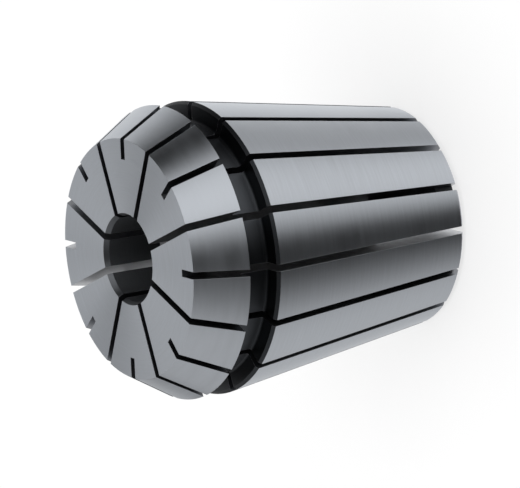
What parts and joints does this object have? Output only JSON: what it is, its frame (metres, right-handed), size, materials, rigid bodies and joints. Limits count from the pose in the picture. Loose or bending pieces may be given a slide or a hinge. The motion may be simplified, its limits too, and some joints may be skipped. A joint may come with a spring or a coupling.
{
  "type": "er collet",
  "caption": "Slotted spring collet with a long 8 degree taper, a 30 degree nose cone, an extraction groove and a 12 mm through bore.",
  "frame": {"origin": "centre of the small end's flat face, at the foot of the bore", "axes": "+Z along the bore axis from the small end to the nose; +X lies in the middle of a slot that is open at the nose"},
  "size_m": [0.041, 0.041, 0.046],
  "materials": {
    "ground_steel": "ground satin on the face, nose and taper; dark as hardened in the groove and the slots"
  },
  "bodies": {
    "root": {"collet": "ground_steel"}
  },
  "joints": []
}
